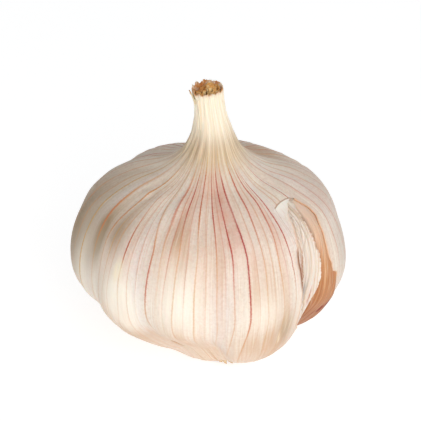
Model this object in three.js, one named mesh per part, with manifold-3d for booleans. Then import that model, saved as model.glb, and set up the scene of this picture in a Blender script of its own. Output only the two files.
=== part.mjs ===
// A garlic bulb with a cut neck: a striped papery wrapper drawn over its cloves, torn open on one
// side, where a clove in its own skin and a strip of the inner skin show.
// Millimetres, +Z up the neck, origin at the middle of the root plate's flat underside.

import * as THREE from "three";
import { ParametricGeometry } from "three/addons/geometries/ParametricGeometry.js";
import { mergeVertices } from "three/addons/utils/BufferGeometryUtils.js";
import Module from "manifold-3d";

// ---- driving dimensions ----------------------------------------------------------------------

const gap = 0.3; // clearance between touching pieces

// the wrapper over the crest of a clove, from the root plate to the cut neck: radius, height
const crestProfile = [
  [10.3, 0.5], [14.2, 1.7], [21.0, 5.6], [27.8, 12.4], [31.1, 22.0], [29.6, 31.0], [25.3, 37.8],
  [17.8, 42.5], [11.2, 45.1], [7.0, 48.5], [4.85, 52.4], [3.65, 56.8], [3.35, 61.0], [3.5, 64.6],
];
const bellyRadius = 31;

// the cloves under the wrapper. Angles in degrees, 0 at the front (-Y), 90 at the right (+X).
// crest: angle of the ridge; reach: how far it stands out; lift: how much its foot is raised;
// shoulder: how much its top is raised. The furrow after it has its angle, its depth as a share
// of the radius, and the height at which the wrapper has bridged it.
const cloves = [
  { crest: -13, reach: 0.0, lift: 4.5, shoulder: 0.0, furrow: 4, depth: 0.07, bridged: 36 },
  { crest: 26, reach: 0.3, lift: 0.6, shoulder: 0.0, furrow: 53, depth: 0.125, bridged: 40 },
  { crest: 81, reach: -0.3, lift: 3.2, shoulder: 0.3, furrow: 106, depth: 0.05, bridged: 42 },
  { crest: 128, reach: -0.3, lift: 1.0, shoulder: 0.3, furrow: 149, depth: 0.06, bridged: 46 },
  { crest: 168, reach: 0.0, lift: 1.0, shoulder: 0.2, furrow: 190, depth: 0.07, bridged: 46 },
  { crest: 214, reach: 0.8, lift: 1.0, shoulder: 0.0, furrow: 242, depth: 0.095, bridged: 57 },
  { crest: 268, reach: 0.6, lift: 2.4, shoulder: 1.3, furrow: 297, depth: 0.075, bridged: 48 },
  { crest: 316, reach: -0.4, lift: 2.3, shoulder: 0.0, furrow: 329, depth: 0.06, bridged: 36 },
];
const bridgeHeight = 26; // a furrow fades out over this height
const crispness = 30; // how tightly the wrapper turns into a furrow
const leastFurrow = 0.012; // what is left of every furrow where it has faded out
const neckBuildUp = 0.05; // the gathered skins thicken the shoulder and neck by this share

// the bulb grew off centre and its neck leans back over: sideways shift of each level
const bellyShift = -4.1;
const shoulderReturn = 0.6;
const neckLean = -1.3;

// the neck's cut end
const neckBore = { radius: 2.7, floor: 57 };
const sheaths = { radius: 2.4, foot: 57.3, rim: 64.4, backRise: 0.6 };

// the root plate and the hollow it sits in
const rootPlate = { radius: 9.4, footRadius: 8.6, thickness: 2.4, lobes: 13, ripple: 0.25 };
const rootHollow = { radius: 9.85, ceiling: 2.8 };

// the torn opening in the wrapper: its left and right edge at each height, in degrees
const tear = [
  { z: 7.5, left: 64, right: 82 },
  { z: 12, left: 53, right: 83 },
  { z: 15, left: 47.5, right: 76 },
  { z: 18, left: 42.5, right: 70.5 },
  { z: 26, left: 41.2, right: 66 },
  { z: 31, left: 41.2, right: 62.8 },
  { z: 36, left: 42.4, right: 62.6 },
  { z: 39, left: 45, right: 64.8 },
  { z: 42, left: 55, right: 62 },
];
const wrapperThickness = 1.9; // wrapper and the skins under it, as cut at the tear

// the clove that shows in the tear
const clove = {
  angle: 77, foot: 6.8, tip: 43, halfWidth: 12.6, halfDepth: 8.6, skinDepth: 1.4,
  tipNarrowing: 0.15, innerTaper: 0.35, roundness: 0.6,
};

// the strip of white inner skin beside it, between two depths under the wrapper
const innerSkin = { low: 13, high: 40.5, width: 13.5, sideGap: 2, outer: 0.6, inner: 1.2 };

const columns = 60;
const bulbRows = 38;

// ---- small helpers ---------------------------------------------------------------------------

const radians = THREE.MathUtils.degToRad;
const lerp = THREE.MathUtils.lerp;
const smooth = (x, low, high) => THREE.MathUtils.smoothstep(x, low, high);

// signed angle from b to a in degrees, -180 to 180
const turn = (a, b) => THREE.MathUtils.euclideanModulo(a - b + 180, 360) - 180;

const crestCurve = new THREE.SplineCurve(crestProfile.map(([r, z]) => new THREE.Vector2(r, z)));

function axisShift(z) {
  const lean = bellyShift * Math.sin((Math.PI / 2) * THREE.MathUtils.clamp(z / 20, 0, 1));
  return lean + shoulderReturn * smooth(z, 24, 48) + neckLean * smooth(z, 52, 68);
}

// a point at an angle and radius about the upright axis through the root plate
function upright(angle, radius, z, target) {
  const a = radians(angle);
  return target.set(radius * Math.sin(a), -radius * Math.cos(a), z);
}

// the same about the bulb's own axis, which leans
function about(angle, radius, z, target) {
  upright(angle, radius, z, target);
  target.x += axisShift(z);
  return target;
}

// value of one key of a list of levels at height z, straight between levels
function atLevel(levels, key, z) {
  const next = levels.findIndex((level) => level.z > z);
  if (next === 0) return levels[0][key];
  if (next < 0) return levels.at(-1)[key];
  const [a, b] = [levels[next - 1], levels[next]];
  return lerp(a[key], b[key], (z - a.z) / (b.z - a.z));
}

// ---- the wrapper's surface -------------------------------------------------------------------

// depth of a furrow at a level: deepest below the belly, bridged over at the shoulder
function furrowDepth(shape, z) {
  const body = smooth(z, 0.3, 4) * (1 - smooth(z, shape.bridged - bridgeHeight, shape.bridged));
  const foot = 0.45 * smooth(z, 0, 4) * (1 - smooth(z, 7, 18));
  return shape.depth * (body + foot) + leastFurrow * smooth(z, 0, 4);
}

// The radius is the crest profile times the smooth maximum of one arch for each clove. Each
// arch is highest at its crest and falls with the square of the angle to its two furrows.
function wrapperPoint(angle, t, target) {
  const profile = crestCurve.getPoint(t);
  const z = profile.y;
  const body = smooth(z, 0, 6) * (1 - smooth(z, 38, 48));
  let total = 0;
  let weight = 0;
  let lift = 0;
  let shoulder = 0;
  cloves.forEach((shape, i) => {
    const before = cloves.at(i - 1);
    const away = turn(angle, shape.crest);
    const side = away >= 0 ? shape : before;
    const share = away / turn(side.furrow, shape.crest);
    const arch = 1 + (shape.reach / bellyRadius) * body - furrowDepth(side, z) * share * share;
    total += Math.exp(crispness * (arch - 1));
    const near = Math.exp(-3 * share * share);
    weight += near;
    lift += near * shape.lift;
    shoulder += near * shape.shoulder;
  });
  const swell = Math.log(total) / crispness + neckBuildUp * smooth(z, 32, 46);
  const radius = profile.x * (1 + swell);
  const low = smooth(z, 0.2, 4) * (1 - smooth(z, 8, 22));
  const high = smooth(z, 22, 36) * (1 - smooth(z, 41, 50));
  return about(angle, radius, z + (low * lift + high * shoulder) / weight, target);
}

// wrapper radius at an angle and a real height, found by halving the profile parameter
function wrapperRadius(angle, z) {
  const point = new THREE.Vector3();
  let [low, high] = [0, 1];
  for (let i = 0; i < 24; i++) {
    const middle = (low + high) / 2;
    if (wrapperPoint(angle, middle, point).z < z) low = middle;
    else high = middle;
  }
  return Math.hypot(point.x - axisShift(point.z), point.y);
}

// ---- solids ----------------------------------------------------------------------------------

const wasm = await Module();
wasm.setup();

// merge shared corners and drop the triangles that a pole has closed up
function weld(geometry) {
  geometry.deleteAttribute("normal");
  geometry.deleteAttribute("uv");
  const merged = mergeVertices(geometry, 1e-4);
  const corners = merged.index.array;
  const kept = [];
  for (let i = 0; i < corners.length; i += 3) {
    const [a, b, c] = corners.slice(i, i + 3);
    if (a !== b && b !== c && c !== a) kept.push(a, b, c);
  }
  merged.setIndex(kept);
  return merged;
}

// a closed skin turned about an axis: section(angle, v) runs from one pole to the other
function turnedSkin(section, around, along) {
  const surface = (u, v, target) => section(360 * (u < 1 ? u : 0), v, target);
  return weld(new ParametricGeometry(surface, around, along));
}

function toSolid(geometry) {
  const mesh = new wasm.Mesh({
    numProp: 3,
    vertProperties: Float32Array.from(geometry.getAttribute("position").array),
    triVerts: Uint32Array.from(geometry.index.array),
  });
  return new wasm.Manifold(mesh);
}

function toGeometry(solid) {
  const mesh = solid.getMesh();
  const geometry = new THREE.BufferGeometry();
  geometry.setAttribute("position", new THREE.BufferAttribute(mesh.vertProperties, 3));
  geometry.setIndex(new THREE.BufferAttribute(mesh.triVerts, 1));
  geometry.computeVertexNormals();
  return geometry;
}

// ---- wrapper, with the hollow for the root plate below and the bore of the cut neck above --------

function wrapperSkin() {
  const under = [[0, rootHollow.ceiling], [rootHollow.radius, rootHollow.ceiling]];
  const over = [
    [neckBore.radius, crestProfile.at(-1)[1]], [neckBore.radius, neckBore.floor], [0, neckBore.floor],
  ];
  const along = under.length + bulbRows + over.length;
  const section = (angle, v, target) => {
    const row = Math.round(v * along);
    if (row < under.length) return upright(angle, ...under[row], target);
    const above = row - under.length - bulbRows - 1;
    if (above >= 0) return about(angle, ...over[above], target);
    return wrapperPoint(angle, (row - under.length) / bulbRows, target);
  };
  return turnedSkin(section, columns, along);
}

// ---- a block between two depths under the wrapper, bounded by a left and a right edge ------------

function skinBlock(low, high, leftAt, rightAt, outer, inner) {
  const [across, along] = [6, 14];
  const ring = 2 * (across + 1);
  const surface = (u, v, target) => {
    const row = Math.round(v * (along + 2));
    const z = lerp(low, high, THREE.MathUtils.clamp((row - 1) / along, 0, 1));
    const [left, right] = [leftAt(z), rightAt(z)];
    const step = Math.round(u * ring) % ring;
    const back = step > across;
    const share = (back ? ring - 1 - step : step) / across;
    const capped = row === 0 || row === along + 2;
    const angle = lerp(left, right, capped ? 0.5 : share);
    const depth = capped ? (outer + inner) / 2 : back ? inner : outer;
    return about(angle, wrapperRadius(angle, z) - depth, z, target);
  };
  return toSolid(weld(new ParametricGeometry(surface, ring, along + 2)));
}

// ---- the clove: a crescent with a wedge section, blunt at the foot and pointed at the tip --------

function cloveSolid(grown) {
  const height = clove.tip - clove.foot;
  const [around, along] = [32, 22];
  const section = (angle, v, target) => {
    const z = lerp(clove.foot - grown, clove.tip + grown, (1 - Math.cos(Math.PI * v)) / 2);
    const share = THREE.MathUtils.clamp((z - clove.foot) / height, 0, 1);
    const belly = Math.pow(Math.sin(Math.PI * v), clove.roundness);
    const narrowed = 1 - clove.tipNarrowing * share;
    const wide = (clove.halfWidth * narrowed + grown) * belly;
    const deep = (clove.halfDepth * narrowed + grown) * belly;
    const outside = wrapperRadius(clove.angle, Math.max(z, clove.foot)) - clove.skinDepth;
    const middle = outside - deep + grown * belly;
    const a = radians(angle);
    const across = wide * Math.sin(a) * (1 - clove.innerTaper * (1 - Math.cos(a)) / 2);
    const out = middle + deep * Math.cos(a);
    const far = Math.hypot(out, across);
    const bearing = clove.angle + THREE.MathUtils.radToDeg(Math.atan2(across, out));
    return about(bearing, far, z, target);
  };
  return toSolid(turnedSkin(section, around, along));
}

// ---- neck sheaths: the rolled inner leaves, standing a little proud at the back ------------------

function neckSheaths() {
  const rings = [
    [0, 0], [sheaths.radius, 0], [sheaths.radius, 0.5], [sheaths.radius, 1],
    [sheaths.radius * 0.72, 1], [sheaths.radius * 0.45, 0.92], [0, 0.88],
  ];
  const section = (angle, v, target) => {
    const [radius, share] = rings[Math.round(v * (rings.length - 1))];
    const across = radius / sheaths.radius;
    const rise = sheaths.backRise * 0.5 * (1 - across * Math.cos(radians(angle)));
    const z = lerp(sheaths.foot, sheaths.rim + rise, share);
    return about(angle, radius, z, target);
  };
  return turnedSkin(section, 24, rings.length - 1);
}

// ---- root plate: a corky disc with a flat underside and a knobbly rim of cut roots ---------------

function rootDisc() {
  const { radius, footRadius, thickness } = rootPlate;
  const rings = [
    [0, 0], [footRadius, 0], [radius, 0.7], [radius, thickness - 0.5], [radius - 0.8, thickness],
    [0, thickness],
  ];
  const section = (angle, v, target) => {
    const [r, z] = rings[Math.round(v * (rings.length - 1))];
    const knobs = rootPlate.ripple * Math.cos(radians(rootPlate.lobes * angle));
    return upright(angle, r > 0 ? r + knobs - rootPlate.ripple : 0, z, target);
  };
  return turnedSkin(section, 44, rings.length - 1);
}

// ---- assembly --------------------------------------------------------------------------------

const finishes = {
  wrapper: new THREE.MeshStandardMaterial({ color: 0xe9d6c4, roughness: 0.6, metalness: 0 }),
  innerSkin: new THREE.MeshStandardMaterial({ color: 0xe6e1da, roughness: 0.55, metalness: 0 }),
  clove: new THREE.MeshStandardMaterial({ color: 0xd59a63, roughness: 0.45, metalness: 0 }),
  sheaths: new THREE.MeshStandardMaterial({ color: 0xa8713c, roughness: 0.8, metalness: 0 }),
  root: new THREE.MeshStandardMaterial({ color: 0xb08a5a, roughness: 0.9, metalness: 0 }),
};

function addMesh(group, name, geometry, material) {
  const mesh = new THREE.Mesh(geometry, material);
  mesh.name = name;
  group.add(mesh);
}

const tearLeft = (z) => atLevel(tear, "left", z);
const tearRight = (z) => atLevel(tear, "right", z);

const tornWrapper = toSolid(wrapperSkin())
  .subtract(skinBlock(tear[0].z, tear.at(-1).z, tearLeft, tearRight, -3, wrapperThickness))
  .subtract(cloveSolid(gap));

const stripLeft = (z) => tearLeft(z) + innerSkin.sideGap;
const stripRight = (z) => Math.min(tearLeft(z) + innerSkin.width, tearRight(z) - innerSkin.sideGap);
const strip = skinBlock(
  innerSkin.low, innerSkin.high, stripLeft, stripRight, innerSkin.outer, innerSkin.inner,
);
const stripRoom = skinBlock(
  innerSkin.low - gap, innerSkin.high + gap, (z) => stripLeft(z) - 1, (z) => stripRight(z) + 1,
  -1, innerSkin.inner + gap,
);
const bareClove = cloveSolid(0).subtract(stripRoom);

const garlicBulb = new THREE.Group();
addMesh(garlicBulb, "wrapped_bulb", toGeometry(tornWrapper), finishes.wrapper);
addMesh(garlicBulb, "exposed_clove", toGeometry(bareClove), finishes.clove);
addMesh(garlicBulb, "inner_skin", toGeometry(strip), finishes.innerSkin);
addMesh(garlicBulb, "neck_sheaths", neckSheaths(), finishes.sheaths);
addMesh(garlicBulb, "root_plate", rootDisc(), finishes.root);

export default garlicBulb;
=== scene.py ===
import bpy
import math
import numpy as np
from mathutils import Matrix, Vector


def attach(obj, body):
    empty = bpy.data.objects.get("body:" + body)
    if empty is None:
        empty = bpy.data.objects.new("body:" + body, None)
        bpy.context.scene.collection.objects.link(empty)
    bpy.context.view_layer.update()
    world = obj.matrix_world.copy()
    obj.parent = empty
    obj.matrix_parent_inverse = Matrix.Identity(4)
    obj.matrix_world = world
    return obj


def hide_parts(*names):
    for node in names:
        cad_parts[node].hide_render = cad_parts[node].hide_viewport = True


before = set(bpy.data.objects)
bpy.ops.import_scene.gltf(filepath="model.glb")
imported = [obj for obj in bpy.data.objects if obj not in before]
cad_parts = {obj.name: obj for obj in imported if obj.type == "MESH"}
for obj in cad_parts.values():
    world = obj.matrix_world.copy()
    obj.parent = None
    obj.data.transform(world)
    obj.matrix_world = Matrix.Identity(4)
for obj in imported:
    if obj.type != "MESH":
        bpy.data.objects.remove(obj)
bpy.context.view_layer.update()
mm = 0.001

# the bulb's form in millimetres and degrees: 0 at the front (-Y), 90 at the right (+X)
bulb = {
    "crest": [(10.3, 0.5), (14.2, 1.7), (21.0, 5.6), (27.8, 12.4), (31.1, 22.0), (29.6, 31.0), (25.3, 37.8),
              (17.8, 42.5), (11.2, 45.1), (7.0, 48.5), (4.85, 52.4), (3.65, 56.8), (3.35, 61.0), (3.5, 64.6)],
    "belly": 31.0,
    # crest angle, reach, foot lift, shoulder lift, furrow angle, furrow depth, height where it is bridged
    "cloves": [
        (-13, 0.0, 4.5, 0.0, 4, 0.07, 36), (26, 0.3, 0.6, 0.0, 53, 0.125, 40),
        (81, -0.3, 3.2, 0.3, 106, 0.05, 42), (128, -0.3, 1.0, 0.3, 149, 0.06, 46),
        (168, 0.0, 1.0, 0.2, 190, 0.07, 46), (214, 0.8, 1.0, 0.0, 242, 0.095, 57),
        (268, 0.6, 2.4, 1.3, 297, 0.075, 48), (316, -0.4, 2.3, 0.0, 329, 0.06, 36),
    ],
    "bridge": 26.0, "crispness": 30.0, "leastFurrow": 0.012, "neckBuildUp": 0.05,
    "bellyShift": -4.1, "shoulderReturn": 0.6, "neckLean": -1.3, "skinLength": 60.0,
}


def smooth(x, low, high):
    # 0 below low, 1 above high, and a smooth S between; it falls where low is the greater
    s = np.clip((x - low) / (high - low), 0, 1)
    return s * s * (3 - 2 * s)


def bell(x, middle, width):
    # 1 at the middle, falling off as a Gaussian of that width
    return np.exp(-((x - middle) / width) ** 2)


def turned(a, b):
    # signed angle from b to a, -180 to 180
    return (a - b + 180) % 360 - 180


def unit(vectors):
    # each vector divided by its length
    return vectors / np.maximum(np.linalg.norm(vectors, axis=-1, keepdims=True), 1e-9)


def crestAt(t):
    # Catmull-Rom through the crest's points, t from 0 at the root plate to 1 at the cut
    p = np.array(bulb["crest"])
    last = len(p) - 1
    at = np.clip(t, 0, 1) * last
    i = np.minimum(np.floor(at).astype(int), last - 1)
    f = (at - i)[..., None]
    a, b, c, d = p[np.maximum(i - 1, 0)], p[i], p[i + 1], p[np.minimum(i + 2, last)]
    v0, v1 = (c - a) / 2, (d - b) / 2
    return (2 * b - 2 * c + v0 + v1) * f ** 3 + (-3 * b + 3 * c - 2 * v0 - v1) * f ** 2 + v0 * f + b


def axisShift(z):
    # sideways shift of the bulb's axis at a height: out to the left, back a little, then the neck's lean
    lean = bulb["bellyShift"] * np.sin(np.pi / 2 * np.clip(z / 20, 0, 1))
    return lean + bulb["shoulderReturn"] * smooth(z, 24, 48) + bulb["neckLean"] * smooth(z, 52, 68)


def furrowDepth(depth, bridged, z):
    # share of the radius that a furrow takes: deepest under the belly, bridged over at the shoulder
    body = smooth(z, 0.3, 4) * smooth(z, bridged, bridged - bulb["bridge"])
    low = smooth(z, 0, 4)
    return depth * (body + 0.45 * low * smooth(z, 18, 7)) + bulb["leastFurrow"] * low


def wrapperForm(angle, t):
    # radius and height of the wrapper: the crest profile times the smooth maximum of one arch a clove,
    # each arch falling with the square of the angle to its two furrows
    profile = crestAt(t)
    r, z = profile[..., 0], profile[..., 1]
    body = smooth(z, 0, 6) * smooth(z, 48, 38)
    total, weight, lift, shoulder = 0, 0, 0, 0
    shapes = bulb["cloves"]
    for i, (crest, reach, foot, top, furrow, depth, bridged) in enumerate(shapes):
        furrowBefore, depthBefore, bridgedBefore = shapes[i - 1][4:]
        away = turned(angle, crest)
        right = away >= 0
        share = away / np.where(right, turned(furrow, crest), turned(furrowBefore, crest))
        drop = np.where(right, furrowDepth(depth, bridged, z), furrowDepth(depthBefore, bridgedBefore, z))
        arch = 1 + reach / bulb["belly"] * body - drop * share ** 2
        total = total + np.exp(bulb["crispness"] * (arch - 1))
        near = np.exp(-3 * share ** 2)
        weight, lift, shoulder = weight + near, lift + near * foot, shoulder + near * top
    low = smooth(z, 0.2, 4) * smooth(z, 22, 8)
    high = smooth(z, 22, 36) * smooth(z, 50, 41)
    swell = np.log(total) / bulb["crispness"] + bulb["neckBuildUp"] * smooth(z, 32, 46)
    return r * (1 + swell), z + (low * lift + high * shoulder) / weight


def about(angle, radius, z):
    # points at angles and radii about the bulb's leaning axis
    a = np.radians(angle)
    return np.stack([axisShift(z) + radius * np.sin(a), -radius * np.cos(a), z + 0 * a], -1)


def normals(points):
    # unit normals of a grid: across the columns times up the rows
    return unit(np.cross(np.gradient(points, axis=1), np.gradient(points, axis=0)))


def fibreOf(angle, share):
    # a place on the unrolled skin for patterns that run with its fibres: round at the belly, then along it
    f = np.radians(angle)
    return np.stack([bulb["belly"] * np.sin(f), bulb["belly"] * np.cos(f), bulb["skinLength"] * share], -1)


def waves(angle, t, seed, around, along, count=12):
    # seamless noise: cosines with a whole number of turns in angle and a few along t, at random phases
    rng = np.random.default_rng(seed)
    total = 0
    for _ in range(count):
        k = rng.integers(around[0], around[1] + 1)
        m = rng.uniform(along[0], along[1]) * rng.choice([-1, 1])
        total = total + np.cos(np.radians(k * angle) + 2 * np.pi * m * t + rng.uniform(0, 2 * np.pi))
    return total / math.sqrt(count / 2)


def ragged(x, seed, steps):
    # a torn line along x: random values at even steps, joined straight, -1 to 1
    values = np.random.default_rng(seed).uniform(-1, 1, steps + 1)
    low, high = np.min(x), np.max(x)
    return np.interp((x - low) / max(high - low, 1e-9) * steps, np.arange(steps + 1), values)


def spots(table, angle, z):
    # a sum of soft spots: a bell in angle times a bell in height, each with its strength
    total = 0
    for at, level, wide, high, strength in table:
        total = total + strength * bell(turned(angle, at), 0, wide) * bell(z, level, high)
    return total


def gridPiece(name, slotName, paint, points, layers, closed=False, keep=None, joined=(), caps=()):
    # One quad between each four neighbouring points, and a UV map of column and row shares. In each
    # (left, right, rows) of joined the right column's points are the left one's, keep masks the quads,
    # and each row of a closed grid that is listed in caps is filled by one flat face.
    rows, columns = points.shape[:2]
    ids = np.arange(rows * columns).reshape(rows, columns)
    for left, right, rowMask in joined:
        ids[rowMask, right] = ids[rowMask, left]
    if closed:
        ids = np.concatenate([ids, ids[:, :1]], axis=1)
    wide = ids.shape[1] - 1
    uv = np.stack(np.meshgrid(np.arange(wide + 1) / wide, np.arange(rows) / (rows - 1)), -1)
    quads, corners = [np.stack([a[:-1, :-1], a[:-1, 1:], a[1:, 1:], a[1:, :-1]], 2) for a in (ids, uv)]
    mask = np.ones((rows - 1, wide), bool) if keep is None else keep
    quads, corners = quads[mask], [corners[mask].reshape(-1, 2)]
    rings = [ids[row, :-1][::1 if row else -1] for row in caps]
    used, packed = np.unique(np.concatenate([quads.ravel(), *rings]), return_inverse=True)
    packed, start = packed.ravel(), quads.size
    faces = packed[:start].reshape(-1, 4).tolist()
    for row, ring in zip(caps, rings):
        faces.append(packed[start:start + len(ring)].tolist())
        corners.append(np.full((len(ring), 2), (0.5, float(row > 0))))
        start += len(ring)
    tables = {}
    for key, values in layers.items():
        values = np.broadcast_to(values, points.shape if np.ndim(values) == 3 else points.shape[:2])
        tables[key] = values.reshape(rows * columns, -1)[used]
    points = points.reshape(-1, 3)[used]
    return meshPiece(name, paint, points, faces, np.concatenate(corners), tables)


def tubesPiece(name, slotName, paint, centres, radii, sides=7):
    # tapered tubes in one mesh: rings about each centre line, joined by quads and closed at both ends
    along = unit(np.gradient(centres, axis=1))
    across = unit(np.cross(along, [0, 0, 1.0]))
    a = np.radians(np.arange(sides) * 360 / sides)[None, None, :, None]
    rim = across[:, :, None] * np.cos(a) + np.cross(across, along)[:, :, None] * np.sin(a)
    points = centres[:, :, None] + radii[..., None, None] * rim
    count, rings = radii.shape
    ids = np.arange(count * rings * sides).reshape(count, rings, sides)
    wrap = np.concatenate([ids, ids[..., :1]], axis=2)
    quads = np.stack([wrap[:, :-1, :-1], wrap[:, 1:, :-1], wrap[:, 1:, 1:], wrap[:, :-1, 1:]], -1)
    caps = [ids[:, 0], ids[:, -1, ::-1]]
    corners = np.concatenate([quads.ravel()] + [cap.ravel() for cap in caps])
    faces = quads.reshape(-1, 4).tolist() + caps[0].tolist() + caps[1].tolist()
    uv = np.meshgrid(np.linspace(0, 1, sides), np.linspace(0, 1, count * rings))
    uv = np.stack(uv, -1).reshape(-1, 2)[corners]
    return meshPiece(name, paint, points.reshape(-1, 3), faces, uv, {})


def meshPiece(name, paint, points, faces, uv, tables):
    # a smooth-shaded object with a value or a vector of each table at every point, riding on the root body
    me = bpy.data.meshes.new(name)
    me.from_pydata((points * mm).tolist(), [], faces)
    for key, values in tables.items():
        kind, field = ("FLOAT_VECTOR", "vector") if values.shape[1] == 3 else ("FLOAT", "value")
        data = me.attributes.new(key, kind, "POINT").data
        data.foreach_set(field, values.ravel().astype(np.float32))
    me.uv_layers.new(name="OFBake").data.foreach_set("uv", uv.ravel().astype(np.float32))
    me.polygons.foreach_set("use_smooth", np.ones(len(faces), bool))
    me.validate()
    me.update()
    piece = bpy.data.objects.new(name, me)
    bpy.context.scene.collection.objects.link(piece)
    me.materials.append(paint)
    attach(piece, "root")
    return piece


def thicken(piece, thickness, offset=-1.0):
    # a sheet made solid: inwards from its points, or to both sides of them where the offset is 0
    solid = piece.modifiers.new("thickness", "SOLIDIFY")
    solid.thickness, solid.offset = thickness * mm, offset
    return piece


def tone(colour):
    # a colour given as 0-255 display values, turned into Blender's linear numbers
    c = np.array(colour) / 255
    return (*np.where(c <= 0.04045, c / 12.92, ((c + 0.055) / 1.055) ** 2.4).tolist(), 1)


class Nodes:
    # a node tree that is filled one call at a time
    def __init__(self, tree):
        self.tree, self.known = tree, {}

    def node(self, kind, inputs=None, **settings):
        made = self.tree.nodes.new(kind)
        for key, value in settings.items():
            setattr(made, key, value)
        for key, value in (inputs or {}).items():
            self.feed(made.inputs[key], value)
        return made

    def feed(self, socket, value):
        # a link from another node's output, or a plain value, which is display values on a colour's socket
        if isinstance(value, bpy.types.NodeSocket):
            self.tree.links.new(value, socket)
        else:
            socket.default_value = tone(value) if socket.type == "RGBA" else value

    def math(self, how, *values):
        return self.node("ShaderNodeMath", dict(enumerate(values)), operation=how).outputs[0]

    def span(self, value, low, high, least, most):
        # least where the value is low, most where it is high, straight between and held beyond
        inputs = {"Value": value, "From Min": low, "From Max": high, "To Min": least, "To Max": most}
        return self.node("ShaderNodeMapRange", inputs).outputs["Result"]

    def noise(self, reads, scale, detail, rough, squeeze=1):
        # cloudy noise on Object coordinates or on the fibre attribute, drawn out along the fibre
        if reads == "place":
            where = self.node("ShaderNodeTexCoord").outputs["Object"]
        else:
            fibre = self.node("ShaderNodeAttribute", attribute_name=reads).outputs["Vector"]
            inputs = {"Vector": fibre, "Scale": (1, 1, squeeze)}
            where = self.node("ShaderNodeMapping", inputs).outputs["Vector"]
        inputs = {"Vector": where, "Scale": scale, "Detail": detail, "Roughness": rough}
        return self.node("ShaderNodeTexNoise", inputs).outputs["Fac"]

    def mask(self, name):
        # a mask or noise made before, or else the piece's own attribute of that name
        if name not in self.known:
            self.known[name] = self.node("ShaderNodeAttribute", attribute_name=name).outputs["Fac"]
        return self.known[name]

    def spread(self, settings):
        # a mask by its name alone, or a span of it: (name, low, high, least, most)
        if isinstance(settings, str):
            return self.mask(settings)
        return self.span(self.mask(settings[0]), *settings[1:])

    def coats(self, base, *table):
        # each coat goes over the last with a share that its mask takes from 0 to most
        for name, *limits, most, colour in table:
            low, high = limits or (0, 1)
            share = self.span(self.mask(name), low, high, 0, most)
            made = self.node("ShaderNodeMix", {0: share, 6: base, 7: self.known.get(colour, colour)},
                             data_type="RGBA")
            base = made.outputs[2]
        return base


def makePaint(name, look):
    # A material from its dictionary. noises: what each reads, scale, detail, roughness, squeeze. masks: two
    # masks joined by an operation, each by name or as (mask, low, high, least, most). tones and coats: a base
    # tone, then (mask, low, high, most, tone) for each coat, low and high left out where they are 0 and 1.
    # relief: the weights of the noises whose sum is the bump's height.
    material = bpy.data.materials.new(name)
    material.use_nodes = True
    n = Nodes(material.node_tree)
    for key, settings in look.get("noises", {}).items():
        n.known[key] = n.noise(*settings)
    for key, (how, first, second) in look.get("masks", {}).items():
        n.known[key] = n.math(how, n.spread(first), n.spread(second))
    for key, table in look.get("tones", {}).items():
        n.known[key] = n.coats(*table)
    rough = look["roughness"]
    sockets = {"Base Color": n.coats(*look["coats"]),
               "Roughness": n.spread(rough) if isinstance(rough, tuple) else rough, **look["sockets"]}
    if "relief" in look:
        height = 0
        for key, weight in look["relief"].items():
            height = n.math("MULTIPLY_ADD", n.known[key], weight, height)
        strength, distance = look["bump"]
        inputs = {"Height": height, "Strength": strength, "Distance": distance * mm}
        sockets["Normal"] = n.node("ShaderNodeBump", inputs).outputs["Normal"]
    shader = n.tree.nodes["Principled BSDF"]
    for key, value in sockets.items():
        n.feed(shader.inputs[key], value)
    return material


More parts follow.
